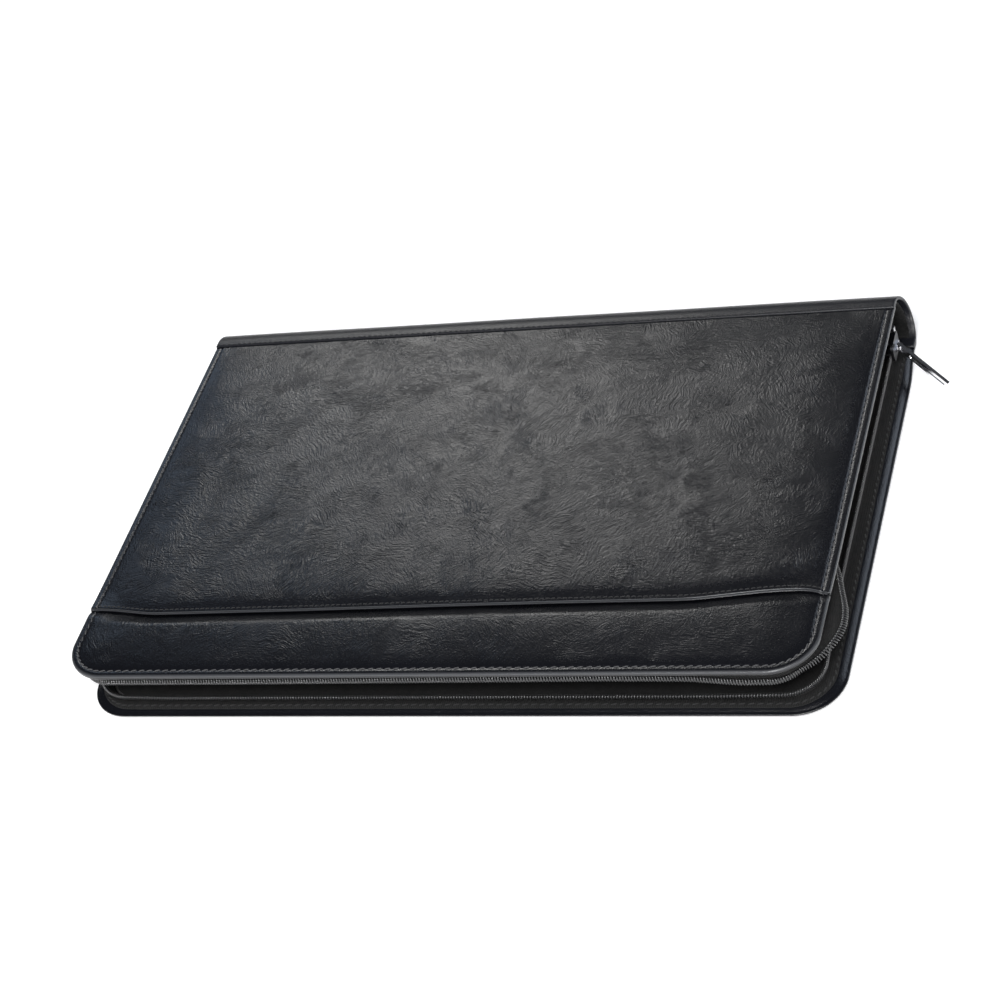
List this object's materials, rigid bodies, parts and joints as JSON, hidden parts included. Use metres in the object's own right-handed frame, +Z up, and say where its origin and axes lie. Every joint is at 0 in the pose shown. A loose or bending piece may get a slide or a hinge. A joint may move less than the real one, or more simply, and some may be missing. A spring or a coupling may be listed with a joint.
{
  "type": "portfolio case",
  "caption": "Padded zip-round portfolio case with a rounded spine, an outside slip pocket and inside pockets; it opens flat like a book.",
  "frame": {"origin": "middle of the covers' footprint, on the outer face of the back cover that the case lies on", "axes": "+X along the spine, +Y from the opening edge towards the spine, +Z up through the closed case"},
  "size_m": [0.3774, 0.242, 0.0289],
  "materials": {
    "leather": "black pebbled and creased imitation leather with a soft sheen, tone-on-tone stitching",
    "foam": "thin polyurethane foam padding",
    "board": "grey bookbinding board",
    "lining": "black brushed fabric lining",
    "zip_tape": "charcoal woven polyester tape",
    "zip_coil": "dark nylon coil",
    "stop_metal": "pressed metal stop",
    "stiffener": "flexible plastic spine stiffener",
    "pocket_leather": "thin smooth imitation leather pocket panel",
    "pocket_trim": "folded edge binding",
    "elastic": "ribbed woven elastic",
    "slider_metal": "gunmetal plated zinc slider",
    "pull_chrome": "polished chrome pull"
  },
  "bodies": {
    "back_cover": {"back_leather": "leather", "back_foam": "foam", "back_board": "board", "back_lining": "lining", "lower_zip_tape": "zip_tape", "lower_zip_coil": "zip_coil", "zip_bottom_stop": "stop_metal", "lower_top_stop": "stop_metal", "pad_pocket": "pocket_leather", "pad_pocket_trim": "pocket_trim", "spine_strip_back": "leather", "spine_stiffener_back": "stiffener", "spine_lining_back": "lining"},
    "spine": {"spine_strip_middle": "leather", "spine_stiffener_middle": "stiffener", "spine_lining_middle": "lining"},
    "front_cover": {"front_panel": "leather", "front_strip": "leather", "front_foam": "foam", "front_board": "board", "front_lining": "lining", "slip_pocket_lining": "lining", "upper_zip_tape": "zip_tape", "upper_zip_coil": "zip_coil", "upper_top_stop": "stop_metal", "document_pocket": "pocket_leather", "document_pocket_trim": "pocket_trim", "card_slot_1": "pocket_leather", "card_slot_2": "pocket_leather", "card_slot_3": "pocket_leather", "pen_loop": "elastic", "spine_strip_front": "leather", "spine_stiffener_front": "stiffener", "spine_lining_front": "lining"},
    "slider": {"slider_body": "slider_metal", "slider_bail": "slider_metal"},
    "pull": {"zip_pull": "pull_chrome"}
  },
  "joints": [
    {"name": "spine_fold", "type": "hinge", "parent": "back_cover", "child": "spine", "pos_m": [0, 0.11699, 0.00401], "axis": [-1, 0, 0], "range_deg": [0, 89]},
    {"name": "cover_fold", "type": "hinge", "parent": "spine", "child": "front_cover", "pos_m": [0, 0.11699, 0.02339], "axis": [-1, 0, 0], "range_deg": [0, 89]},
    {"name": "slider_travel", "type": "slide", "parent": "back_cover", "child": "slider", "axis": [0, -1, 0], "range_m": [0, 0.14]},
    {"name": "pull_swing", "type": "hinge", "parent": "slider", "child": "pull", "pos_m": [0.174, 0.0935, 0.013], "axis": [0, 0, 1], "range_deg": [-40, 122]}
  ],
  "couplings": [
    {"joint": "cover_fold", "follows": "spine_fold", "ratio": 1}
  ]
}
